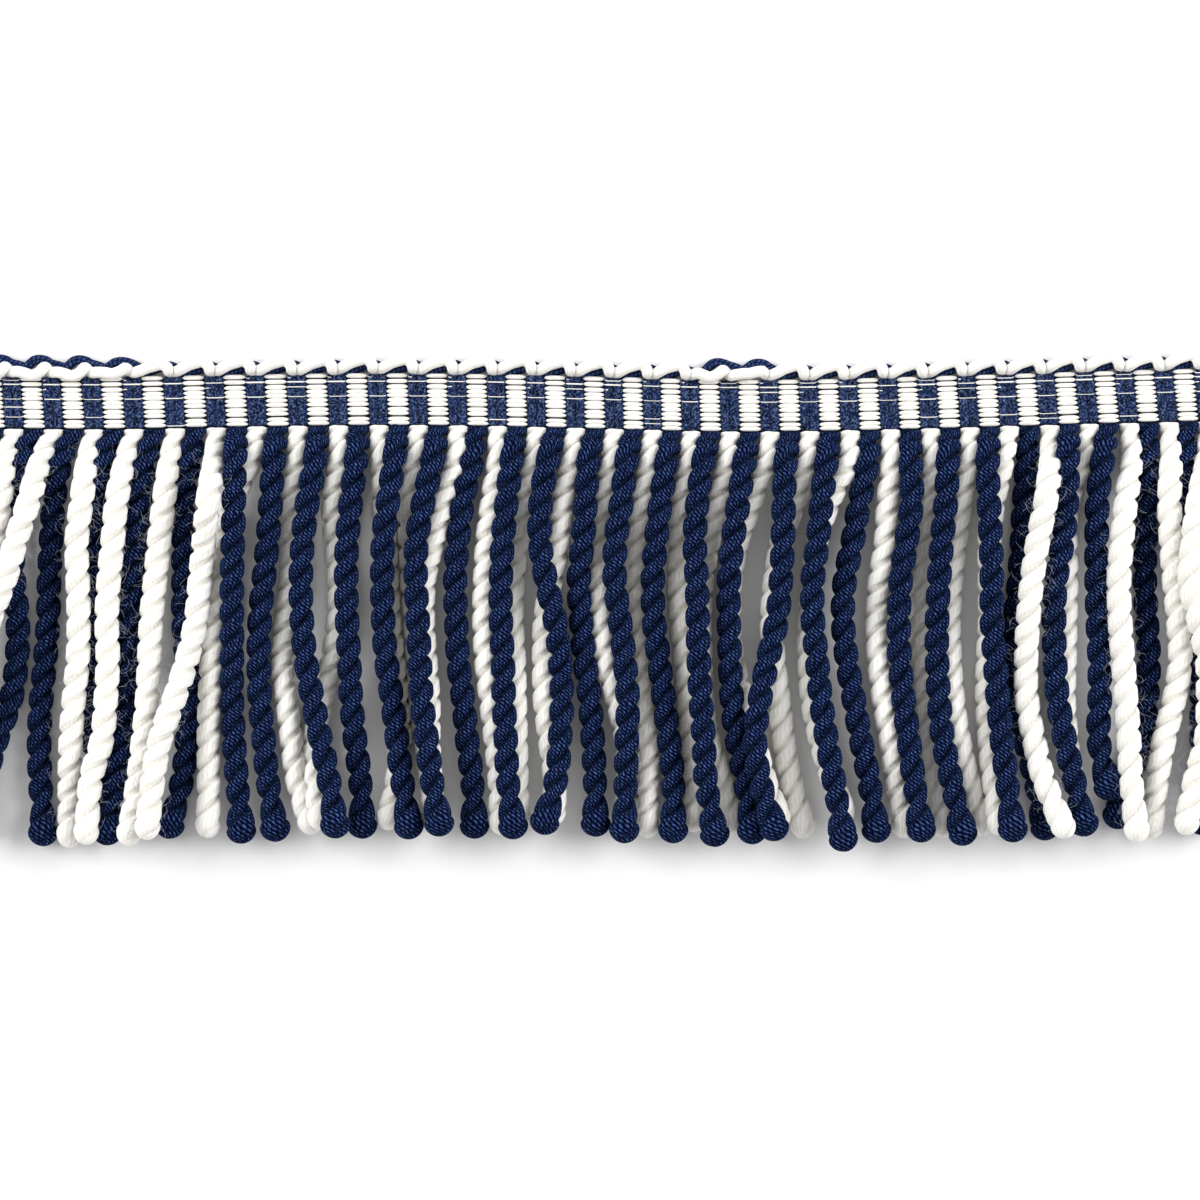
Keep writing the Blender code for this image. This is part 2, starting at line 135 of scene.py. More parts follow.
# Sways are to the right of the root, in mm. A higher layer lies over the lower ones that it meets
Bullion = namedtuple("Bullion", "s6 s14 s22 s30 s38 s46 s54 s62 s70 tip drop layer")
NAVY_BULLIONS = [Bullion(*row) for row in (
    (-2.2, -3.4, -4.6, -5.4, -6.2, -7.4, -8.6, -9.8, -10.6, -11.6, 82.0, 0),
    (-2.6, -3.6, -4.4, -4.2, -3.4, -3.6, -4.8, -7.6, -9.8, -11.4, 82.0, 0),
    (-2.7, -4.1, -4.7, -5.1, -5.3, -5.9, -6.7, -7.1, -6.9, -5.9, 83.6, 0),
    (-2.6, -3.6, -4.0, -4.4, -4.4, -4.4, -4.6, -4.2, -3.6, -3.0, 82.4, 0),
    (-2.0, -3.2, -4.0, -4.6, -5.2, -5.4, -5.8, -6.6, -8.0, -10.0, 83.4, 0),
    (-1.3, -2.5, -2.6, -2.6, -2.6, -2.0, -1.0, -1.9, -2.9, -6.1, 82.0, 0),
    (-0.5, -0.7, -0.9, -1.1, -1.1, -1.1, -1.1, -0.7, -0.1, 1.1, 83.0, 1),
    (-0.9, -1.5, -2.1, -2.9, -3.7, -3.9, -3.7, -2.9, -2.1, -0.1, 82.6, 1),
    (-0.8, -2.2, -3.2, -3.6, -3.4, -2.6, -1.2, 0.4, 2.0, 3.8, 82.0, 1),
    (-0.6, -1.6, -2.4, -2.6, -2.4, -2.0, -1.6, -0.8, 0.2, 0.8, 82.0, 1),
    (-1.0, -2.2, -3.2, -3.4, -3.2, -2.6, -1.4, -0.4, 0.6, 2.4, 82.2, 1),
    (-1.2, -3.0, -4.4, -4.6, -4.2, -3.8, -3.4, -2.4, -1.4, 0.6, 81.6, 1),
    (-1.2, -3.0, -4.0, -4.6, -4.4, -4.0, -3.0, -2.2, -1.2, -0.6, 82.0, 1),
    (-1.1, -2.1, -2.9, -3.3, -3.3, -2.9, -2.7, -2.3, -1.9, -0.5, 82.2, 1),
    (-1.7, -3.1, -3.3, -2.1, -0.3, 0.7, 1.1, 0.7, -0.1, -3.1, 81.2, 1),
    (-1.3, -1.9, -2.5, -3.3, -2.9, -2.1, -1.1, -0.5, -0.1, 0.1, 81.6, 1),
    (-1.4, -2.4, -3.6, -3.8, -2.8, -1.8, -1.2, -1.4, -1.6, -2.0, 83.0, 1),
    (-1.0, -2.2, -3.2, -3.8, -3.6, -2.6, -1.6, -0.6, 0.2, 0.2, 83.0, 1),
    (-1.4, -2.6, -3.2, -2.8, -2.6, -2.4, -2.0, -1.4, -1.0, 1.2, 83.6, 1),
    (-1.1, -2.3, -3.5, -4.3, -4.3, -4.1, -3.7, -2.7, -1.1, 0.7, 83.2, 1),
    (-0.9, -1.3, -1.5, -1.9, -2.7, -4.5, -6.1, -7.1, -6.1, -2.5, 82.4, 2),
    (-0.7, -1.7, -2.5, -3.5, -3.5, -2.7, -1.9, -0.7, 0.7, 2.9, 84.4, 1),
    (-0.5, -2.1, -3.5, -5.1, -5.5, -4.7, -3.3, -1.9, -0.3, 1.5, 82.8, 1),
    (0.1, 0.3, -0.7, -1.9, -2.3, -2.1, -1.3, -0.3, 0.7, 2.5, 82.8, 1),
    (-0.4, -0.8, -1.6, -2.2, -2.6, -2.6, -2.2, -1.4, 0.2, 3.0, 83.4, 1),
    (-0.4, -0.2, 0.2, 0.4, 0.4, 1.0, 1.6, 2.4, 3.4, 4.8, 82.8, 1),
    (-0.5, -1.1, -1.5, -2.1, -2.9, -3.1, -2.3, -0.9, 1.1, 3.5, 82.4, 0),
    (-0.3, -0.5, -1.3, -2.7, -3.1, -2.9, -2.3, -0.9, 0.9, 3.3, 81.6, 1),
    (-1.3, -2.3, -2.5, -2.5, -2.3, -1.9, -1.9, -2.1, -0.5, 0.3, 74.4, 1),
    (-0.2, -0.2, -0.6, -0.8, -0.4, 0.0, -0.4, -1.2, -3.8, -7.4, 80.0, 0),
    (-0.9, -1.3, -1.3, -0.7, 0.5, 2.3, 2.7, 2.7, 2.9, 2.5, 81.4, 0),
)]
WHITE_BULLIONS = [Bullion(*row) for row in (
    (-1.8, -2.9, -4.0, -5.3, -7.0, -8.6, -9.8, -11.0, -11.8, -12.8, 82.0, 1),
    (-2.8, -5.1, -7.7, -10.0, -13.0, -15.0, -16.2, -17.0, -17.6, -18.2, 82.0, 2),
    (-1.5, -2.6, -3.6, -3.4, -3.2, -3.4, -4.2, -4.8, -5.0, -5.0, 84.0, 1),
    (-2.0, -3.7, -4.5, -5.3, -5.7, -5.5, -5.9, -6.7, -8.9, -9.9, 83.4, 1),
    (-1.3, -2.4, -3.4, -4.2, -5.0, -5.4, -5.8, -6.6, -7.6, -9.8, 83.6, 1),
    (-0.5, -1.8, -2.6, -3.4, -4.2, -6.0, -8.6, -11.4, -12.8, -14.2, 82.4, 2),
    (-1.5, -4.9, -6.8, -7.6, -8.7, -9.2, -9.6, -9.8, -9.8, -10.0, 82.0, 0),
    (-0.4, -1.7, -1.3, -1.5, -2.5, -3.3, -2.5, -1.5, -0.3, 3.1, 81.2, 0),
    (-0.1, -1.2, -0.8, -0.2, -0.2, -1.4, -3.4, -5.0, -4.6, -3.6, 80.4, 0),
    (0.4, 0.7, 1.3, 1.7, 2.1, 2.9, 3.7, 4.3, 3.5, 1.3, 80.4, 0),
    (-0.9, -2.0, -1.8, -1.4, -0.8, -0.2, 0.4, 1.2, 2.2, 3.4, 79.4, 0),
    (-0.6, -3.1, -4.9, -6.8, -7.1, -6.6, -6.0, -6.0, -5.6, -5.0, 80.8, 0),
    (0.0, -1.1, -2.1, -2.6, -2.8, -2.4, -1.5, -0.5, 0.3, 0.8, 81.4, 0),
    (-0.7, -2.6, -4.0, -4.8, -5.0, -4.6, -4.4, -4.2, -4.0, -3.6, 80.0, 0),
    (-0.9, -2.6, -3.4, -4.8, -6.2, -6.4, -6.2, -5.2, -4.2, -4.8, 79.6, 0),
    (-0.8, -2.1, -2.9, -3.1, -2.7, -1.9, 0.3, 2.2, 2.4, 1.6, 80.8, 0),
    (-0.7, -2.2, -3.0, -3.2, -3.0, -2.4, -1.4, -0.8, -1.0, -1.2, 82.0, 0),
    (-0.4, -1.9, -2.5, -2.7, -2.1, -1.3, -0.7, -0.1, 0.3, 0.5, 80.8, 0),
    (-0.6, -2.5, -4.3, -5.7, -6.1, -5.9, -5.5, -4.3, -1.7, 1.1, 81.2, 0),
    (-0.6, -3.7, -6.5, -7.9, -8.1, -7.5, -5.7, -3.3, -1.1, 2.5, 80.0, 0),
    (-0.8, -3.1, -5.7, -7.1, -7.7, -7.3, -6.3, -5.3, -3.9, -0.9, 82.0, 0),
    (-0.4, -4.1, -6.7, -7.5, -8.2, -8.2, -7.6, -6.0, -3.6, -0.5, 78.8, 0),
    (0.2, -0.5, -0.9, -2.1, -2.7, -2.3, -1.4, 0.0, 1.1, 3.0, 82.0, 0),
    (0.4, -0.5, -1.1, -1.5, -1.7, -1.7, -1.5, -0.7, 0.5, 3.1, 82.0, 0),
    (-0.3, -1.8, -2.8, -3.8, -4.2, -4.0, -3.4, -2.2, -0.4, 3.2, 81.4, 0),
    (-1.3, -3.2, -4.0, -4.0, -4.0, -4.4, -4.6, -4.2, -3.2, -2.0, 81.4, 0),
    (0.2, -0.7, -2.3, -3.5, -4.3, -4.7, -4.5, -3.1, -1.1, 3.7, 82.0, 1),
    (-1.2, -3.9, -4.5, -4.5, -4.7, -4.9, -5.1, -4.5, -3.5, -1.5, 79.6, 0),
    (0.5, -0.6, -1.4, -2.0, -1.8, -1.2, -0.6, -0.0, 0.4, 1.8, 82.8, 2),
    (0.5, 0.2, 0.5, 1.1, 1.9, 2.3, 1.1, -0.9, -2.3, -3.7, 82.0, 1),
    (-0.3, -1.9, -3.0, -3.6, -1.9, -0.2, 0.0, -0.4, -2.6, -4.8, 81.4, 2),
)]

# Where the lower white bullions stay up beside the navy ones, in mm below the hanging line, by their count
# from the left: from the root down to the first distance, and again between the second and the third
STAYS_UP = {
    6: (8, 34, 99),
    7: (5, 54, 99),
    9: (8, 72, 99),
    11: (56, 90, 99),
    12: (90, 0, 99),
    13: (8, 32, 99),
    14: (28, 34, 99),
    15: (8, 30, 52),
    18: (12, 90, 99),
    19: (14, 54, 99),
    20: (9, 24, 42),
    21: (14, 34, 66),
    22: (22, 46, 60),
    24: (8, 28, 62),
    25: (26, 90, 99),
    27: (2, 27, 99),
}
STAYS_UP_ELSEWHERE = (9, 90, 99)

# What the camera looks straight down at, and the height off the table at which the tables' places are true
CAMERA_MIDDLE = (-0.3, -39.4)
TRUE_HEIGHT = 4.0

# How the bullions are laid over each other, level by level. A root starts a little under the heading and
# keeps its height for a little. Heights are those of a cord's middle off the table
LEVEL_STEP = 1.0
ROOT_GAP = 0.15
ROOT_HEIGHT = 2.12
ROOT_HELD = 0.4
TABLE_CLEARANCE = 0.04
TWISTED_CLEARANCE = 0.05
# How close two squeezed roots come, how much closer a cord comes to a white one that stays up beside it,
# and how much closer two cords of one colour and layer come
ROOT_REACH = 3.5
BESIDE_GIVE = 1.7
ALIKE_GIVE = 0.7
# How far the bullions lie over the table where nothing is under them, and how much of that a navy tip loses
NAVY_LIFT = 3.8
NAVY_TIP_FALL = 3.4
NAVY_TIP_LENGTH = 18.0
RAISED_WHITE_LIFT = 1.0
UP_AT_ROOT_LIFT = 3.0
UP_AGAIN_LIFT = 2.3
# A cord falls away from each high place by this much a level, over this many levels, and its course is then
# softened this many times
DRAPE_SLOPE = 0.06
DRAPE_LEVELS = 8
SOFTENINGS = 24

# How a colour's cords are spun: half a ply's width, the furrow's bottom from the middle, the cord's and its
# knob's thickness as shares, and over what length and by what share its root is squeezed
Spinning = namedtuple("Spinning", "width furrow girth knob root_length squeeze")

# The rows of a cord's mesh at its root, with how far it has opened, and in its round tip, as shares of it
ROOT_ROWS = (0.0, 0.02, 0.12, 0.3)
ROOT_OPENING = (0.0, 0.8, 0.95, 1.0)
TIP_LENGTH = 3.1
TIP_ROWS = (1.0, 0.85, 0.7, 0.55, 0.42, 0.3, 0.2, 0.12, 0.05, 0.01, 0.0)
# The looped tip narrows and then swells to a knob, at these places in mm from its end
KNOB_PLACES = (-11.0, -8.0, -5.4, -3.6, 0.0)
KNOB_SWELLS = (0.0, -0.1, 0.08, 0.24, 0.24)
# The two plies merge into the knob from this far from the end, over this length and by this share
MERGE_FROM_END = 6.5
MERGE_OVER = 3.5
MERGED_SHARE = 0.75
# The twist is counted from this far below the root, where one ply lies over the other, to this far from the
# tip's end, where they lie side by side
TWIST_FROM_ROOT = 2.4
TWIST_TO_TIP = 1.4
# The columns of one ply's mesh in degrees round it, of which the first lies in the furrow
FURROW_ANGLE = 134
PLY_COLUMNS = (-134, -112, -90, -67, -45, -22, 0, 22, 45, 67, 90, 112)

# No piece may have more than 200,000 triangles, so each holds at most this many bullions
CORDS_IN_PIECE = 16

# A column's middle and the place where an edge cord's loop starts, in repeats from the middle of its repeat
COLUMN_MIDDLE = 0.25
LOOP_START = 0.27

# A colour Mix node's share and two colours among its inputs, and its result among its outputs
SHARE = 0
FIRST = 6
SECOND = 7
MIXED = 2


def linear(hex_colour):
    """A linear colour from an sRGB hex value."""
    channels = [int(hex_colour[place : place + 2], 16) / 255 for place in (1, 3, 5)]
    return [c / 12.92 if c <= 0.04045 else ((c + 0.055) / 1.055) ** 2.4 for c in channels]


def size(name, description, value):
    """A length, given in mm, that a user may change."""
    return FloatProperty(
        name=name, description=description, default=value * MM, unit="LENGTH", precision=5
    )


def colour(name, description, hex_colour):
    """A colour that a user may change."""
    return FloatVectorProperty(
        name=name, description=description, default=linear(hex_colour), subtype="COLOR", min=0.0, max=1.0
    )


class BullionSettings(bpy.types.PropertyGroup):
    """Sizes and colours of the twisted bullions."""

    ply_offset: size("Ply offset", "From the cord's middle to each ply's middle", 1.25)
    ply_depth: size("Ply depth", "Half a ply's thickness, away from the cord's middle", 1.25)
    navy_width: size("Navy ply width", "Half a navy ply's width, round the cord", 1.75)
    white_width: size("White ply width", "The same for the softer white cords", 1.94)
    navy_furrow: size("Navy furrow", "From a navy cord's middle to the furrow between its plies", 1.3)
    white_furrow: size("White furrow", "The same for the softer white cords", 1.8)
    pitch: size("Pitch", "Length of one full turn of the twist", 9.2)
    row: size("Row", "Length of each row of the cord's mesh", 0.46)
    spacing: size("Spacing", "How close the middles of two touching cords come", 5.2)
    yarns: IntProperty(name="Yarns", description="Yarns round a ply", default=11, min=3, max=30)
    fibres: IntProperty(
        name="Fibres", description="Loose fibres on each raised white cord", default=150, min=1
    )
    fibre: colour("Fibre", "The loose white fibres", "#9a9eaa")
    # The deep navy and the cream are painted shade in the yarns' furrows, and the light navy is painted
    # highlight where their fibres catch the light
    navy: colour("Navy", "The navy yarn in the light", "#030b28")
    navy_painted_shade: colour("Painted navy shade", "The navy yarn in its furrows", "#010308")
    navy_painted_highlight: colour("Painted navy highlight", "Where the navy yarn's fibres catch the light", "#526dac")
    white: colour("White", "The white yarn", "#f3f1ec")
    white_painted_shade: colour("Painted white shade", "The white yarn in its furrows", "#dedad0")


class HeadingSettings(bpy.types.PropertyGroup):
    """Sizes and colours of the woven heading."""

    cloth: size("Cloth", "Thickness of the ground cloth under the floats", 0.8)
    float_top: size("Float top", "Height of the white floats off the table", 2.1)
    column_top: size("Column top", "Height of the navy columns off the table", 1.75)
    block: FloatProperty(
        name="Block",
        description="Width of a white block, as a share of a repeat",
        default=0.52,
        subtype="FACTOR",
    )
    ground: colour("Ground", "The navy ground between the floats", "#0a1022")
    column: colour("Column", "The fuzzy navy yarn of the columns", "#142247")
    column_light: colour("Column light", "Where the columns' fibres catch the light", "#62749a")


class EdgeSettings(bpy.types.PropertyGroup):
    """Sizes of the two looped edge cords."""

    white_radius: size("White cord", "Radius of the white edge cord", 1.13)
    navy_radius: size("Navy cord", "Radius of the navy edge cord", 0.95)


class StageSettings(bpy.types.PropertyGroup):
    """The table, the light and the camera."""

    camera_height: size("Camera height", "Height of the camera off the table", 604.0)
    floor: colour("Floor", "The pale table", "#e8e8e9")
    key: FloatProperty(
        name="Key", description="Power of each large soft light", default=14.4, unit="POWER"
    )
    fill: FloatProperty(name="Fill", description="Strength of the light from all round", default=0.56)


# Curves and paths

def curve_values(places, values, at):
    """Values on the smooth curve through the given ones, whose slope at each follows its neighbours."""
    places = np.asarray(places, float)
    values = np.asarray(values, float)
    last = len(places) - 1
    before = np.maximum(np.arange(last + 1) - 1, 0)
    after = np.minimum(np.arange(last + 1) + 1, last)
    slopes = (values[after] - values[before]) / (places[after] - places[before])
    start = np.clip(np.searchsorted(places, at, side="right") - 1, 0, last - 1)
    span = places[start + 1] - places[start]
    t = (at - places[start]) / span
    rise = values[start + 1] - values[start]
    bend_in = slopes[start] * span - rise
    bend_out = rise - slopes[start + 1] * span
    return values[start] + t * rise + t * (1 - t) * (bend_in * (1 - t) + bend_out * t)


def run_along(points):
    """How far along a path each of its points lies."""
    steps = np.linalg.norm(np.diff(points, axis=0), axis=1)
    return np.concatenate([[0.0], np.cumsum(steps)])


def smooth_path(points, run, at):
    """Points of the smooth curve through a path's points, at distances along it."""
    return np.stack([curve_values(run, points[:, axis], at) for axis in range(3)], axis=1)


def unit(vectors):
    """The same directions, each one long."""
    return vectors / np.linalg.norm(vectors, axis=1)[:, None]


def band_place(repeats, across):
    """Places on the bowed band in mm, from repeats along it and mm across it, up from its middle."""
    along = np.asarray(repeats, float) * REPEAT
    places = [row.along for row in HEADING_SECTIONS]
    bow = curve_values(places, [row.bow for row in HEADING_SECTIONS], along)
    slide = curve_values(places, [row.slide for row in HEADING_SECTIONS], along)
    lean = curve_values(places, [row.lean for row in HEADING_SECTIONS], along)
    return along + slide - lean * (across / BAND_WIDTH + 0.5), across + bow


def path_from_stations(stations):
    """Stations of repeats, mm across and height, put in order along the band, with what else they hold."""
    repeats, across, heights, *others = np.array(stations).T
    order = np.argsort(repeats, kind="stable")
    x, y = band_place(repeats[order], across[order])
    return np.stack([x, y, heights[order]], axis=1), [other[order] for other in others]


def seen_from_above(points, camera_height):
    """Draws points in towards the camera's middle so that raised ones keep their place in its view."""
    middle = np.array(CAMERA_MIDDLE)
    shrink = (camera_height - points[:, 2]) / (camera_height - TRUE_HEIGHT)
    moved = points.copy()
    moved[:, :2] = middle + (points[:, :2] - middle) * shrink[:, None]
    return moved


# Meshes

def round_tube(path, half_widths, half_heights, around):
    """Rings of an oval tube with pointed ends along a path, and how far round and along it they lie."""
    tangent = unit(np.gradient(path, axis=0))
    side = unit(np.cross([0.0, 0.0, 1.0], tangent))
    upward = np.cross(tangent, side)
    angle = np.linspace(0, 2 * math.pi, around + 1)
    widths = np.array(half_widths, float) * np.ones(len(path))
    heights = np.array(half_heights, float) * np.ones(len(path))
    widths[[0, -1]] = 0.0
    heights[[0, -1]] = 0.0
    rings = path[:, None] + side[:, None] * (widths[:, None] * np.cos(angle))[..., None]
    rings = rings + upward[:, None] * (heights[:, None] * np.sin(angle))[..., None]
    rings[:, -1] = rings[:, 0]
    girth = angle * float(np.mean(widths[1:-1]))
    yarns = np.stack(np.broadcast_arrays(girth[None, :], run_along(path)[:, None]), axis=-1)
    return rings, yarns


def tubes_mesh(name, tubes):
    """One mesh of closed tubes: their rings in mm, their yarn coordinates and their share of painted light.
    """
    mesh = bmesh.new()
    for rings, _, _ in tubes:
        rows, columns = rings.shape[:2]
        bmesh.ops.create_grid(mesh, x_segments=columns - 1, y_segments=rows - 1, size=1.0)
    data = bpy.data.meshes.new(name)
    mesh.to_mesh(data)
    mesh.free()
    places = np.concatenate([rings.reshape(-1, 3) for rings, _, _ in tubes]) * MM
    data.vertices.foreach_set("co", places.ravel())
    yarns_at = np.concatenate([yarns.reshape(-1, 2) for _, yarns, _ in tubes])
    painted_light_shares = [np.broadcast_to(painted_light_share, rings.shape[:2]).ravel() for rings, _, painted_light_share in tubes]
    corners = np.empty(len(data.loops), np.int32)
    data.loops.foreach_get("vertex_index", corners)
    data.uv_layers.new(name="yarn").data.foreach_set("uv", yarns_at[corners].ravel())
    data.attributes.new("painted_light_share", "FLOAT", "POINT").data.foreach_set("value", np.concatenate(painted_light_shares))
    # The grids are closed along their seams and at their pointed ends
    mesh = bmesh.new()
    mesh.from_mesh(data)
    bmesh.ops.remove_doubles(mesh, verts=mesh.verts[:], dist=1e-7)
    bmesh.ops.dissolve_degenerate(mesh, edges=mesh.edges[:], dist=1e-8)
    bmesh.ops.recalc_face_normals(mesh, faces=mesh.faces[:])
    for face in mesh.faces:
        face.smooth = True
    mesh.to_mesh(data)
    mesh.free()
    return data


def add_piece(name, data, material, slot, *nodes):
    """Show a finished mesh as a piece that stands for CAD nodes."""
    piece = bpy.data.objects.new(name, data)
    bpy.context.scene.collection.objects.link(piece)
    data.materials.append(material)
    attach(piece, "root")
    if nodes:
        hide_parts(*nodes)
    return piece


# Bullions

def bullion_route(bullion, colour_count, count):
    """The levels of a bullion from its root down to its tip, and the x of its middle at each."""
    repeats = count + (colour_count - 0.5) / 2 - (REPEATS - 1) / 2
    root_x, root_y = band_place(repeats, -HALF_BAND)
    belows = SWAYS_BELOW + (bullion.drop,)
    downward = [-float(root_y)] + [below - HANGING_LINE for below in belows]
    middles = [float(root_x)] + [float(root_x) + sway for sway in bullion[: len(belows)]]
    tip = HANGING_LINE - bullion.drop
    levels = np.arange(float(root_y) - ROOT_GAP, tip, -LEVEL_STEP)
    levels = np.append(levels[levels > tip + LEVEL_STEP / 2], tip)
    return levels, curve_values(downward, middles, -levels)


def white_lift(layer, count, below):
    """How far a white bullion lies over the table's height at each level, and where it stays up."""
    if layer > 0:
        return np.full(len(below), RAISED_WHITE_LIFT), np.zeros(len(below))
    down_to, again, until = STAYS_UP.get(count, STAYS_UP_ELSEWHERE)
    at_root = np.clip((down_to + 5 - below) / 5, 0.0, 1.0)
    lower = np.clip((below - again) / 6, 0.0, 1.0) * np.clip((until + 6 - below) / 6, 0.0, 1.0)
    return np.maximum(UP_AT_ROOT_LIFT * at_root, UP_AGAIN_LIFT * lower), np.maximum(at_root, lower)


def navy_lift(layer, above_tip):
    """How far a navy bullion lies over the table's height at each level. It falls towards its tip."""
    near_tip = np.clip(1.0 - above_tip / NAVY_TIP_LENGTH, 0.0, 1.0)
    return (NAVY_LIFT - NAVY_TIP_FALL * near_tip**1.5) * (layer > 0)


def draped(height):
    """A bullion's heights when it bends softly over what it lies on."""
    soft = height.copy()
    for shift in range(1, DRAPE_LEVELS + 1):
        fall = DRAPE_SLOPE * shift
        soft[shift:] = np.maximum(soft[shift:], height[:-shift] - fall)
        soft[:-shift] = np.maximum(soft[:-shift], height[shift:] - fall)
    for _ in range(SOFTENINGS):
        soft[1:-1] = (soft[:-2] + 2 * soft[1:-1] + soft[2:]) / 4
    return soft


def settle_bullions(settings):
    """Routes of all the bullions as (colour, count, points), each resting on the ones laid before it."""
    table_height = (settings.ply_offset + settings.ply_depth) / MM + TABLE_CLEARANCE
    spacing = settings.spacing / MM
    routes = []
    for colour_count, rows in enumerate((NAVY_BULLIONS, WHITE_BULLIONS)):
        for count, bullion in enumerate(rows):
            levels, middles = bullion_route(bullion, colour_count, count)
            routes.append((bullion.layer, colour_count, count, levels, middles))
    routes.sort(key=lambda route: route[:3])
    grid = -np.arange(0.0, 100.0, LEVEL_STEP)
    placed = []
    settled = []
    for layer, colour_count, count, levels, middles in routes:
        x = np.interp(-grid, -levels, middles)
        # A bullion takes room from 1 mm over its root to 2 mm past its tip
        inside = (grid <= levels[0] + 1.0) & (grid >= levels[-1] - 2.0)
        raised_white = colour_count and layer > 0
        full_over = 6.0 if colour_count and not raised_white else 9.0
        below_root = np.clip((levels[0] - grid) / full_over, 0.0, 1.0)
        reach = ROOT_REACH + (spacing - ROOT_REACH) * below_root
        if colour_count:
            lift, up = white_lift(layer, count, HANGING_LINE - grid)
            reach = reach - BESIDE_GIVE * up
        else:
            lift = navy_lift(layer, grid - levels[-1])
            up = np.zeros(len(grid))
        height = ROOT_HEIGHT + (table_height + lift - ROOT_HEIGHT) * below_root
        for other_kind, other_x, other_height, other_inside, other_up in placed:
            apart = np.abs(x - other_x)
            close = np.where(other_up > up, reach - BESIDE_GIVE * (other_up - up), reach)
            close = close - ALIKE_GIVE * (other_kind == (layer, colour_count))
            over = other_height + np.sqrt(np.maximum(close**2 - apart**2, 0.0))
            touching = inside & other_inside & (apart < close)
            height = np.where(touching, np.maximum(height, over), height)
        leaves_root_over = 14.0 if raised_white else 5.0
        start = np.clip((levels[0] - ROOT_HELD - grid) / leaves_root_over, 0.0, 1.0)
        height = ROOT_HEIGHT + (draped(height) - ROOT_HEIGHT) * start**2 * (3 - 2 * start)
        placed.append(((layer, colour_count), x, height, inside, up))
        z = np.interp(-levels, -grid, height)
        settled.append((colour_count, count, np.stack([middles, levels, z], axis=1)))
    return settled


def twisted_cord(points, settings, spinning, turn):
    """Rings and yarn coordinates of a cord of two plies, from its squeezed root to its looped tip."""
    offset = settings.ply_offset / MM
    depth = settings.ply_depth / MM
    radius = offset + depth
    pitch = settings.pitch / MM
    run = run_along(points)
    length = run[-1]
    middle_rows = np.arange(0.6, length - TIP_LENGTH - 0.2, settings.row / MM)
    s = np.concatenate([ROOT_ROWS, middle_rows, length - TIP_LENGTH * np.array(TIP_ROWS)])
    path = smooth_path(points, run, s)
    from_end = np.maximum(s - length, KNOB_PLACES[0])
    swell = spinning.knob * curve_values(KNOB_PLACES, KNOB_SWELLS, from_end)
    path[:, 2] += radius * np.maximum(swell, 0.0)
    tangent = unit(np.gradient(path, s, axis=0))
    across = np.cross([0.0, 0.0, 1.0], tangent)
    # At its root a cord's section is turned along the heading
    across[:, 1] *= np.clip(s / 3.0, 0.0, 1.0)
    across = unit(across)
    upward = np.cross(tangent, across)
    twisted = length - TWIST_TO_TIP - TWIST_FROM_ROOT
    half_turns = max(1, round(twisted / (pitch / 2) - 0.5)) + 0.5
    twist = math.pi / 2 + math.pi * half_turns * (s - TWIST_FROM_ROOT) / twisted + turn
    root = np.clip(1.0 - s / spinning.root_length, 0.0, 1.0)
    in_tip = np.clip((s - (length - TIP_LENGTH)) / TIP_LENGTH, 0.0, 1.0)
    closing = np.sqrt(np.clip(1.0 - in_tip**2, 0.0, 1.0))
    opening = np.interp(s, ROOT_ROWS, ROOT_OPENING)
    scale = spinning.girth * closing * opening * (1.0 + swell) * (1.0 - spinning.squeeze * root)
    path[:, 2] = np.maximum(path[:, 2], radius * scale + TWISTED_CLEARANCE)
    merged = MERGED_SHARE * np.clip((s - (length - MERGE_FROM_END)) / MERGE_OVER, 0.0, 1.0)[:, None]
    steps = np.radians(np.array(PLY_COLUMNS, float))
    columns = np.arange(2 * len(steps) + 1) % (2 * len(steps))
    ply = columns // len(steps)
    around = steps[columns % len(steps)]
    in_furrow = columns % len(steps) == 0
    out = np.where(in_furrow, 0.0, offset + depth * np.cos(around))
    along = np.where(in_furrow, -spinning.furrow, spinning.width * np.sin(around))
    outer_angle = around * (90.0 / FURROW_ANGLE)
    out = out + (radius * np.cos(outer_angle) - out) * merged
    along = along + (radius * np.sin(outer_angle) - along) * merged
    angle = twist[:, None] + math.pi * ply
    sideways = (out * np.cos(angle) - along * np.sin(angle)) * scale[:, None]
    height = (out * np.sin(angle) + along * np.cos(angle)) * scale[:, None]
    rings = path[:, None] + across[:, None] * sideways[..., None] + upward[:, None] * height[..., None]
    rings[:, -1] = rings[:, 0]
    # Yarns are counted so that they run nearly straight along the cord, against the twist of the plies
    straightening = radius / spinning.width * 2 * math.pi / pitch
    yarn_count = (around + straightening * s[:, None]) * settings.yarns / (2 * math.pi)
    yarn_count = yarn_count + 5.0 * ply
    yarns = np.stack(np.broadcast_arrays(yarn_count, s[:, None]), axis=-1)
    # Painted shade: the share of painted light falls to 0.35 towards the furrow between the plies, and
    # rises again where they merge into the knob
    from_furrow = math.radians(FURROW_ANGLE) - np.abs(around)
    painted_light_share = 0.35 + 0.65 * np.clip(from_furrow / math.radians(45), 0.0, 1.0)
    return rings, yarns, painted_light_share + (1.0 - painted_light_share) * 0.6 * merged


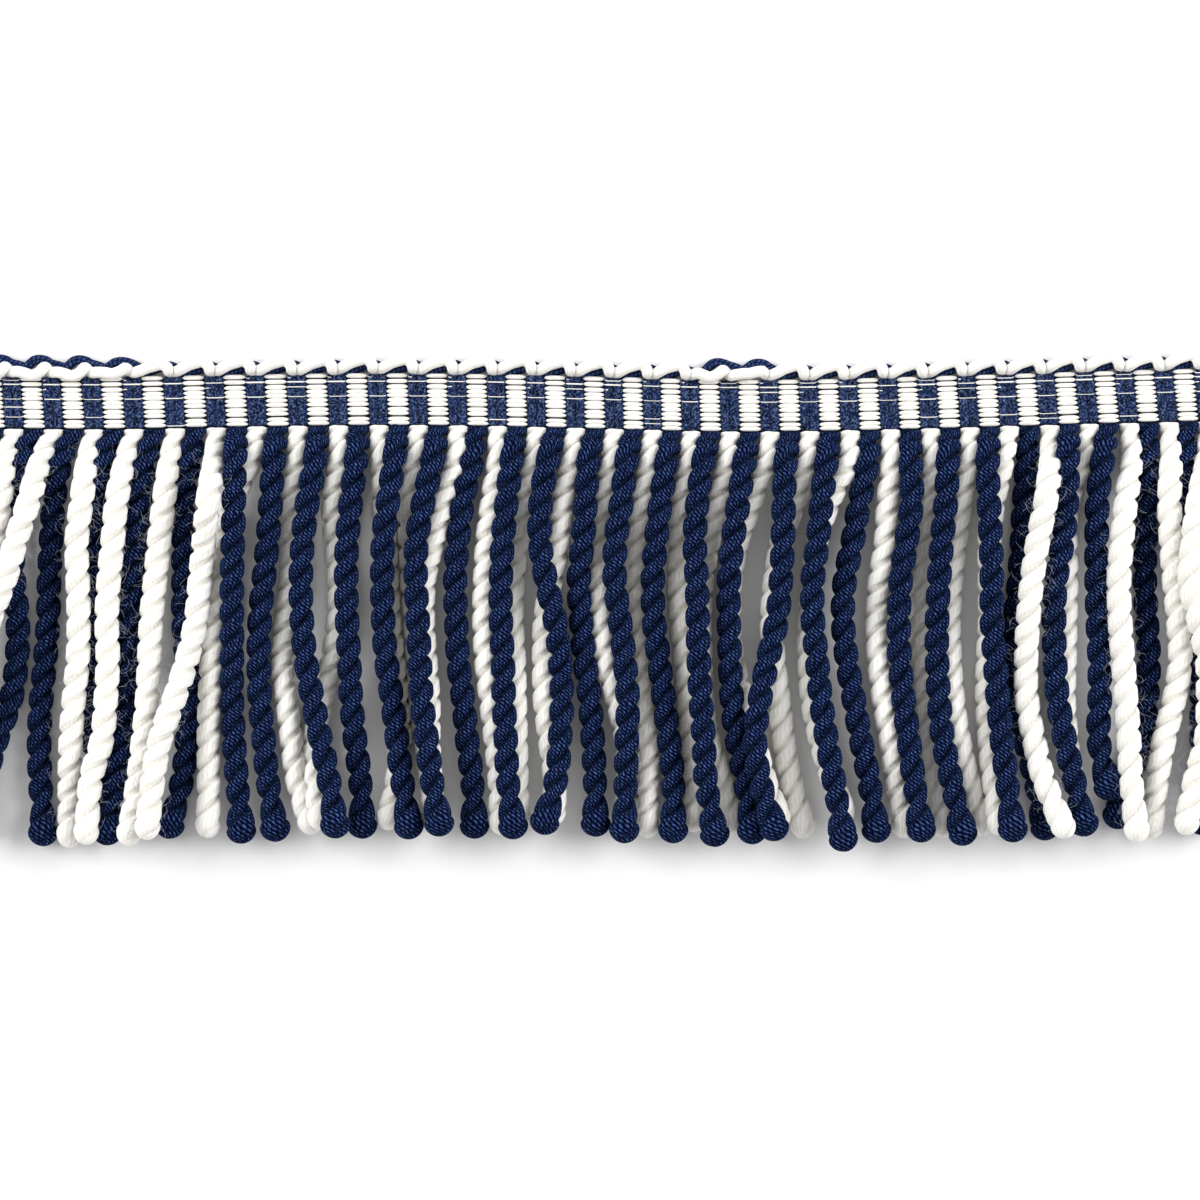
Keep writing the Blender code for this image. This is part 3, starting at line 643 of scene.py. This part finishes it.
def stray_fibres(points, number, chance):
    """Tubes of the short loose fibres that stand out of a soft white cord over its neighbours."""
    run = run_along(points)
    t = np.linspace(0.0, 1.0, 6)
    tubes = []
    for place in chance.uniform(1.0, run[-1] - 2.0, number):
        middle = [np.interp(place, run, points[:, axis]) for axis in range(3)]
        side = chance.choice([-1.0, 1.0])
        reach = chance.uniform(0.4, 2.6)
        outward = side * (2.0 + reach * np.sin(t * chance.uniform(1.2, 2.4)))
        drift = chance.uniform(-2.8, 2.8) * t + chance.uniform(-0.45, 0.45) * np.sin(t * math.pi * 1.5)
        rise = 0.6 + chance.uniform(-0.3, 0.9) * t
        path = np.array(middle) + np.stack([outward, drift, rise], axis=1)
        # A real fibre is about 0.017 mm thick, and is drawn three times as thick so that it shows
        tubes.append((*round_tube(path, 0.026, 0.026, around=3), 1.0))
    return tubes


# Heading

def ground_cloth(settings):
    """The ground cloth's upper face, which a thickness is given to afterwards."""
    mesh = bmesh.new()
    bmesh.ops.create_grid(mesh, x_segments=REPEATS * 4, y_segments=8, size=0.5)
    for vert in mesh.verts:
        x, y = band_place(vert.co.x * REPEATS, vert.co.y * (BAND_WIDTH - 0.1))
        vert.co = (x * MM, y * MM, settings.cloth)
    data = bpy.data.meshes.new("ground_cloth")
    mesh.to_mesh(data)
    mesh.free()
    return data


def warp_thread_tube(thread, settings, camera_height, chance):
    """A white warp thread: fat floats over the blocks, thin and mostly hidden under the navy columns."""
    over_column = settings.column_top / MM + 0.12
    across = HALF_BAND - thread.across
    passes = HALF_BAND - thread.passes_at
    thin = 0.1
    flatness = 0.7
    float_start = 1.05
    float_middle = settings.float_top / MM - 0.32
    at_cut = (0.9, 0.12)
    under_column = (0.95, thin)
    stations = [(-REPEATS / 2, across, *at_cut)]
    for count in range(REPEATS):
        block = count - COLUMN_MIDDLE - (REPEATS - 1) / 2
        swell = 1.0 + chance.uniform(-0.06, 0.06)
        shift = chance.uniform(-0.03, 0.03)
        reach = settings.block / 2 + chance.uniform(-0.006, 0.012)
        for t in (-1.0, -0.94, -0.8, -0.5, 0.0, 0.5, 0.8, 0.94, 1.0):
            full = (1.0 - abs(t) ** thread.bluntness) ** 0.8
            half = thin + (FLOAT_HALF_WIDTH * swell - thin) * full
            height = float_start + (float_middle - float_start) * (1.0 - 0.75 * abs(t) ** 4)
            stations.append((block + t * reach, across + shift, height, half))
        column = block + 0.5
        if column + 0.2 > REPEATS / 2:
            continue
        # The thread that shows at every column is the thickest. Two others often show only at its left side
        over = chance.random() < thread.shown
        strength = chance.uniform(0.55, 1.0) * (1.5 if thread.shown == 1.0 else 1.0)
        left_only = 0.4 < thread.shown < 0.8 and chance.random() < 0.6
        for step in (-0.17, 0.0, 0.17):
            if over and not (left_only and step > -0.1):
                stations.append((column + step, passes, over_column, 0.115 * strength))
            else:
                stations.append((column + step, across, *under_column))
    stations.append((REPEATS / 2, across, *at_cut))
    path, (halves,) = path_from_stations(stations)
    path = seen_from_above(path, camera_height)
    return round_tube(path, halves, np.maximum(halves * flatness, 0.09), around=8)


def column_yarn_tube(count, side, settings, camera_height, chance):
    """One of the two fuzzy navy yarns that lie side by side down a column, 1.9 mm apart."""
    across = np.linspace(HALF_BAND + 0.05, -HALF_BAND - 0.05, 34)
    column = count + COLUMN_MIDDLE - (REPEATS - 1) / 2
    wander = 0.05 * np.sin(across * 2.1 + chance.uniform(0, 6))
    x, y = band_place(np.full(len(across), column), across)
    half_widths = 0.98 + 0.05 * np.sin(across * 7.0 + chance.uniform(0, 6))
    half_height = 0.55
    middle = settings.column_top / MM - half_height
    heights = middle + 0.05 * np.sin(across * 6.6 + chance.uniform(0, 6))
    path = np.stack([x + side * 0.95 + wander, y, heights], axis=1)
    return round_tube(seen_from_above(path, camera_height), half_widths, half_height, around=10)


# Edge cords

def edge_route(points, slips, chance):
    """The path in mm of an edge cord, blended at each loop from how it stands to how it has slipped."""
    blended_over = 0.4
    stations = []
    for count in range(-1, REPEATS):
        before = slips.get(count - 1, 0.0)
        wobble = chance.uniform(-0.12, 0.12)
        for point in points:
            changed = min(point.along / blended_over, 1.0)
            slipped = before + (slips.get(count, 0.0) - before) * changed
            along = point.along + (point.slipped_along - point.along) * slipped
            rise = point.rise + (point.slipped_rise - point.rise) * slipped + wobble * min(point.rise, 1.0)
            repeats = count + LOOP_START - (REPEATS - 1) / 2 + along
            if -REPEATS / 2 <= repeats <= REPEATS / 2:
                stations.append((repeats, HALF_BAND + rise, point.height))
    coarse, _ = path_from_stations(stations)
    run = run_along(coarse)
    return smooth_path(coarse, run, np.arange(0.0, run[-1], 0.35))


# Materials

def add_node(tree, kind, inputs=(), **settings):
    """A new node's outputs. Its inputs, by name or number, are values or another node's outputs."""
    node = tree.nodes.new("ShaderNode" + kind)
    for name, value in settings.items():
        setattr(node, name, value)
    for socket, value in dict(inputs).items():
        if isinstance(value, bpy.types.NodeSocket):
            tree.links.new(value, node.inputs[socket])
        else:
            node.inputs[socket].default_value = value
    return node.outputs


def new_material(name, roughness):
    """A material with its tree and its shader."""
    material = bpy.data.materials.new(name)
    material.use_nodes = True
    shader = material.node_tree.nodes["Principled BSDF"]
    shader.inputs["Roughness"].default_value = roughness
    return material, material.node_tree, shader


def spun_yarn(name, deep, middle, light, painted_glint_strength, contrast, sheen, bump, dash_length, slant, soft=0.0):
    """Spun yarn: painted shade in the furrows between the yarns, and painted highlights in short slanting
    dashes where each yarn's fibres catch light.

    Real fibres are 0.02 mm thick, too fine to show, so a dash stands for a tuft of them. dash_length and
    bump are in mm. A bullion has a furrow beside each of its plies' yarns, the other cords one a mm.
    """
    material, tree, shader = new_material(name, roughness=0.85)
    yarn_place = add_node(tree, "UVMap", uv_map="yarn")[0]
    round_it, along_it = add_node(tree, "SeparateXYZ", {0: yarn_place})[:2]
    place = add_node(tree, "TexCoord")["Object"]
    # Yarns wander over 1 mm and drift over 4 mm, and the painted sheen comes and goes over 0.7 mm
    wander = add_node(tree, "TexNoise", {"Vector": place, "Scale": 900.0, "Detail": 2.0})["Fac"]
    drift = add_node(tree, "TexNoise", {"Vector": place, "Scale": 260.0, "Detail": 1.0})["Fac"]
    patch = add_node(tree, "TexNoise", {"Vector": place, "Scale": 1500.0, "Detail": 2.0})["Fac"]
    u = add_node(tree, "Math", {0: drift, 1: 1.2, 2: round_it}, operation="MULTIPLY_ADD")[0]
    wave = add_node(tree, "Math", {0: u, 1: math.pi}, operation="MULTIPLY")[0]
    wave = add_node(tree, "Math", {0: wave}, operation="SINE")[0]
    ridge = add_node(tree, "Math", {0: wave}, operation="ABSOLUTE")[0]
    v = add_node(tree, "Math", {0: along_it, 1: dash_length}, operation="DIVIDE")[0]
    v = add_node(tree, "Math", {0: u, 1: slant, 2: v}, operation="MULTIPLY_ADD")[0]
    v = add_node(tree, "Math", {0: wander, 1: 0.8, 2: v}, operation="MULTIPLY_ADD")[0]
    wave = add_node(tree, "Math", {0: v, 1: 2 * math.pi}, operation="MULTIPLY")[0]
    wave = add_node(tree, "Math", {0: wave}, operation="SINE")[0]
    smooth = {"interpolation_type": "SMOOTHSTEP"}
    dashes = add_node(tree, "MapRange", {"Value": wave, "From Min": -0.2, "From Max": 0.9}, **smooth)[0]
    patch = add_node(tree, "MapRange", {"Value": patch, "From Min": 0.35, "From Max": 0.7})[0]
    patch = add_node(tree, "Math", {0: patch, 1: 0.8, 2: 0.2}, operation="MULTIPLY_ADD")[0]
    # The painted highlights and the painted light between the furrows fade where the share of painted light
    # falls, towards the furrows between the plies
    painted_light_share = add_node(tree, "Attribute", attribute_name="painted_light_share")["Fac"]
    painted_glint = ridge
    for share in (dashes, patch, painted_light_share, painted_glint_strength):
        painted_glint = add_node(tree, "Math", {0: painted_glint, 1: share}, operation="MULTIPLY")[0]
    open_to_light = add_node(
        tree, "MapRange", {"Value": ridge, "From Min": 0.0, "From Max": contrast}, **smooth
    )[0]
    open_to_light = add_node(tree, "Math", {0: open_to_light, 1: painted_light_share}, operation="MULTIPLY")[0]
    # The deep colour is painted shade in the furrows between the yarns, and the light colour is painted
    # highlight on the dashes
    shade = (*deep, 1.0)
    for share, tone in ((open_to_light, middle), (painted_glint, light)):
        colours = {SHARE: share, FIRST: shade, SECOND: (*tone, 1.0)}
        shade = add_node(tree, "Mix", colours, data_type="RGBA")[MIXED]
    tree.links.new(shade, shader.inputs["Base Color"])
    shader.inputs["Specular IOR Level"].default_value = 0.02
    shader.inputs["Sheen Weight"].default_value = sheen
    shader.inputs["Sheen Roughness"].default_value = 0.5
    shader.inputs["Subsurface Weight"].default_value = soft
    shader.inputs["Subsurface Radius"].default_value = (1.0, 1.0, 1.0)
    shader.inputs["Subsurface Scale"].default_value = 1.2 * MM
    relief = add_node(tree, "Math", {0: dashes, 1: 0.4}, operation="MULTIPLY")[0]
    relief = add_node(tree, "Math", {0: ridge, 1: 0.6, 2: relief}, operation="MULTIPLY_ADD")[0]
    raised = add_node(tree, "Bump", {"Strength": 1.0, "Distance": bump * MM, "Height": relief})[0]
    tree.links.new(raised, shader.inputs["Normal"])
    return material


def brushed_yarn(name, deep, middle, light):
    """Soft cotton brushed and beaten till its yarns merge: matt, with fuzzy specks and no clear ribs.

    The specks are 0.4 mm wide, coarser than real fuzz, so that they show. Darker patches are 1.4 mm wide.
    """
    material, tree, shader = new_material(name, roughness=0.95)
    place = add_node(tree, "TexCoord")["Object"]
    speck = add_node(tree, "TexNoise", {"Vector": place, "Scale": 2600.0, "Detail": 3.0})["Fac"]
    patch = add_node(tree, "TexNoise", {"Vector": place, "Scale": 700.0, "Detail": 2.0})["Fac"]
    patch = add_node(tree, "MapRange", {"Value": patch, "From Min": 0.35, "From Max": 0.6})[0]
    fuzz = add_node(tree, "MapRange", {"Value": speck, "From Min": 0.48, "From Max": 0.75})[0]
    shade = (*deep, 1.0)
    for share, tone in ((patch, middle), (fuzz, light)):
        colours = {SHARE: share, FIRST: shade, SECOND: (*tone, 1.0)}
        shade = add_node(tree, "Mix", colours, data_type="RGBA")[MIXED]
    tree.links.new(shade, shader.inputs["Base Color"])
    shader.inputs["Specular IOR Level"].default_value = 0.02
    raised = add_node(tree, "Bump", {"Strength": 0.6, "Distance": 0.1 * MM, "Height": speck})[0]
    tree.links.new(raised, shader.inputs["Normal"])
    return material


def specked(name, tone, darkest, lightest, scale, detail, roughness):
    """A matt material whose tone shifts from darker to lighter. A scale of 1000 gives specks of 1 mm."""
    material, tree, shader = new_material(name, roughness)
    place = add_node(tree, "TexCoord")["Object"]
    speck = add_node(tree, "TexNoise", {"Vector": place, "Scale": scale, "Detail": detail})["Fac"]
    dark = (*[c * darkest for c in tone], 1.0)
    light = (*[c * lightest for c in tone], 1.0)
    colours = {SHARE: speck, FIRST: dark, SECOND: light}
    shade = add_node(tree, "Mix", colours, data_type="RGBA")[MIXED]
    tree.links.new(shade, shader.inputs["Base Color"])
    return material


# Operators, one for each group of pieces

class FRINGE_OT_stage(bpy.types.Operator):
    """Set the table, the light and the camera"""

    bl_idname = "fringe.stage"
    bl_label = "Stage"

    def execute(self, context):
        settings = context.scene.fringe_stage
        scene = context.scene
        mesh = bmesh.new()
        bmesh.ops.create_grid(mesh, x_segments=1, y_segments=1, size=3.0)
        data = bpy.data.meshes.new("floor")
        mesh.to_mesh(data)
        mesh.free()
        floor = bpy.data.objects.new("floor", data)
        scene.collection.objects.link(floor)
        # A board painted in matt off-white, sprayed smooth: plain and even, and only the light shades it
        material, _, shader = new_material("painted_table", roughness=0.9)
        shader.inputs["Base Color"].default_value = (*settings.floor, 1.0)
        data.materials.append(material)
        world = bpy.data.worlds.new("studio")
        world.use_nodes = True
        world.node_tree.nodes["Background"].inputs["Color"].default_value = (1.0, 1.0, 1.0, 1.0)
        world.node_tree.nodes["Background"].inputs["Strength"].default_value = settings.fill
        scene.world = world
        for side in (-1, 1):
            light = bpy.data.lights.new("softbox", "AREA")
            light.shape = "SQUARE"
            light.size = 0.9
            light.energy = settings.key
            lamp = bpy.data.objects.new("softbox", light)
            lamp.location = (side * 1.0, 0.3, 0.8)
            lamp.rotation_euler = (-lamp.location).to_track_quat("-Z", "Y").to_euler()
            scene.collection.objects.link(lamp)
        lens = bpy.data.cameras.new("camera")
        lens.lens = 90.0
        lens.sensor_width = 36.0
        camera = bpy.data.objects.new("camera", lens)
        camera.location = (CAMERA_MIDDLE[0] * MM, CAMERA_MIDDLE[1] * MM, settings.camera_height)
        scene.collection.objects.link(camera)
        scene.camera = camera
        scene.view_settings.view_transform = "Standard"
        return {"FINISHED"}


class FRINGE_OT_heading(bpy.types.Operator):
    """Weave the heading: its ground cloth, white warp threads and navy columns"""

    bl_idname = "fringe.heading"
    bl_label = "Heading"

    def execute(self, context):
        settings = context.scene.fringe_heading
        yarns = context.scene.fringe_bullions
        height = context.scene.fringe_stage.camera_height / MM
        chance = np.random.default_rng(11)
        # Plain navy cotton, woven close: matt, and seen only as dark specks of 0.7 mm between the floats
        cloth = specked("beaten_navy_ground", settings.ground, 0.5, 2.0, 1400.0, 2.0, 0.95)
        ground = add_piece("ground_cloth", ground_cloth(settings), cloth, "heading_yarn", "heading")
        thickness = ground.modifiers.new("thickness", "SOLIDIFY")
        thickness.thickness = settings.cloth
        thickness.offset = -1.0
        # White cotton warp, mercerised and pulled tight: smooth and evenly bright, with long faint dashes
        # and a cream painted shade between its yarns
        white = spun_yarn(
            "mercerised_white_warp", yarns.white_painted_shade, yarns.white, yarns.white,
            painted_glint_strength=0.3, contrast=0.4, sheen=0.1, bump=0.02, dash_length=1.2, slant=0.3,
        )
        threads = [(*warp_thread_tube(thread, settings, height, chance), 1.0) for thread in WARP_THREADS]
        add_piece("white_warp", tubes_mesh("white_warp", threads), white, "heading_yarn", "heading")
        # Navy cotton weft, loosely spun and brushed: its fuzz catches the light in grey-blue specks
        navy = brushed_yarn("fuzzy_navy_weft", settings.ground, settings.column, settings.column_light)
        wefts = [
            (*column_yarn_tube(count, side, settings, height, chance), 1.0)
            for count in range(REPEATS)
            for side in (-1, 1)
        ]
        add_piece("navy_weft", tubes_mesh("navy_weft", wefts), navy, "navy_yarn", "heading")
        return {"FINISHED"}


class FRINGE_OT_edge_cords(bpy.types.Operator):
    """Lay the white looped cord and the navy one behind it along the heading's top edge"""

    bl_idname = "fringe.edge_cords"
    bl_label = "Edge cords"

    def execute(self, context):
        settings = context.scene.fringe_edges
        yarns = context.scene.fringe_bullions
        weave = context.scene.fringe_heading
        height = context.scene.fringe_stage.camera_height / MM
        chance = np.random.default_rng(5)
        # White cotton spun soft and thick: a smooth, nearly plain surface with a little sheen, and a cream
        # painted shade between its yarns
        white = spun_yarn(
            "soft_white_cord", yarns.white_painted_shade, yarns.white, yarns.white,
            painted_glint_strength=0.3, contrast=0.4, sheen=0.2, bump=0.03, dash_length=1.5, slant=0.5,
        )
        # Navy cotton spun the same way: soft and matt, a little bluer than the bullions, with painted shade
        # between its yarns and painted highlights on its dashes
        navy = spun_yarn(
            "soft_navy_cord", yarns.navy, weave.column, weave.column_light,
            painted_glint_strength=0.6, contrast=0.6, sheen=0.0, bump=0.06, dash_length=0.9, slant=0.4,
        )
        for name, points, slips, radius, material in (
            ("white", WHITE_EDGE, WHITE_SLIPS, settings.white_radius / MM, white),
            ("navy", NAVY_EDGE, NAVY_SLIPS, settings.navy_radius / MM, navy),
        ):
            path = seen_from_above(edge_route(points, slips, chance), height)
            tube = (*round_tube(path, radius, radius, around=12), 1.0)
            data = tubes_mesh(f"{name}_edge_loops", [tube])
            add_piece(f"{name}_edge_loops", data, material, f"{name}_yarn", f"edge_cord_{name}")
        return {"FINISHED"}


class FRINGE_OT_bullions(bpy.types.Operator):
    """Twist the navy and white bullions and lay them over each other"""

    bl_idname = "fringe.bullions"
    bl_label = "Bullions"

    def execute(self, context):
        settings = context.scene.fringe_bullions
        height = context.scene.fringe_stage.camera_height / MM
        chance = np.random.default_rng(7)
        # Navy rayon, hard twisted from filaments: nearly black painted shade in its furrows and bright
        # short blue painted highlights on its dashes
        navy = spun_yarn(
            "rayon_navy_yarn", settings.navy_painted_shade, settings.navy, settings.navy_painted_highlight,
            painted_glint_strength=0.9, contrast=0.8, sheen=0.0, bump=0.12, dash_length=0.75, slant=0.9,
        )
        # White cotton, softly spun: light passes through it for about 1 mm, which fills its furrows, and
        # the furrows also get a cream painted shade
        white = spun_yarn(
            "spun_white_yarn", settings.white_painted_shade, settings.white, settings.white,
            painted_glint_strength=0.5, contrast=0.5, sheen=0.1, bump=0.05, dash_length=0.65, slant=0.9, soft=0.5,
        )
        spinnings = (
            Spinning(settings.navy_width / MM, settings.navy_furrow / MM, 1.0, 1.0, 6.0, 0.16),
            Spinning(settings.white_width / MM, settings.white_furrow / MM, 0.97, 0.3, 13.0, 0.18),
        )
        cords = ([], [])
        fibres = []
        for colour_count, count, points in sorted(settle_bullions(settings), key=lambda row: row[:2]):
            points = seen_from_above(points, height)
            if colour_count and WHITE_BULLIONS[count].layer:
                fibres.extend(stray_fibres(points, settings.fibres, chance))
            turn = chance.uniform(-0.35, 0.35)
            cords[colour_count].append(twisted_cord(points, settings, spinnings[colour_count], turn))
        for name, material, tubes in (("navy", navy, cords[0]), ("white", white, cords[1])):
            for part in range(2):
                data = tubes_mesh(
                    f"bullions_{name}_{part}", tubes[part * CORDS_IN_PIECE : (part + 1) * CORDS_IN_PIECE]
                )
                add_piece(f"{name}_cords_{part}", data, material, f"{name}_yarn", f"bullions_{name}")
        # Single cotton fibres worked loose from the white cords: matt, lighter where they face the light
        loose = specked("loose_white_fibres", settings.fibre, 0.8, 1.2, 1200.0, 1.0, 0.9)
        add_piece("stray_fibres", tubes_mesh("stray_fibres", fibres), loose, "white_yarn")
        return {"FINISHED"}


OPERATORS = (FRINGE_OT_stage, FRINGE_OT_heading, FRINGE_OT_edge_cords, FRINGE_OT_bullions)
SETTINGS = {
    "fringe_bullions": BullionSettings,
    "fringe_heading": HeadingSettings,
    "fringe_edges": EdgeSettings,
    "fringe_stage": StageSettings,
}


class FRINGE_PT_panel(bpy.types.Panel):
    """Lists the steps that make the fringe"""

    bl_idname = "FRINGE_PT_panel"
    bl_label = "Bullion fringe"
    bl_space_type = "VIEW_3D"
    bl_region_type = "UI"
    bl_category = "Bullion fringe"

    def draw(self, context):
        for operator in OPERATORS:
            self.layout.operator(operator.bl_idname)


CLASSES = (*SETTINGS.values(), *OPERATORS, FRINGE_PT_panel)


def register():
    """Register the add-on's classes and its settings."""
    for made in CLASSES:
        bpy.utils.register_class(made)
    for name, group in SETTINGS.items():
        setattr(bpy.types.Scene, name, bpy.props.PointerProperty(type=group))


def unregister():
    """Take the add-on's classes and its settings away."""
    for name in SETTINGS:
        delattr(bpy.types.Scene, name)
    for made in reversed(CLASSES):
        bpy.utils.unregister_class(made)


def main():
    """Make every piece in order."""
    register()
    for operator in OPERATORS:
        group, name = operator.bl_idname.split(".")
        getattr(getattr(bpy.ops, group), name)()


if __name__ == "__main__":
    main()
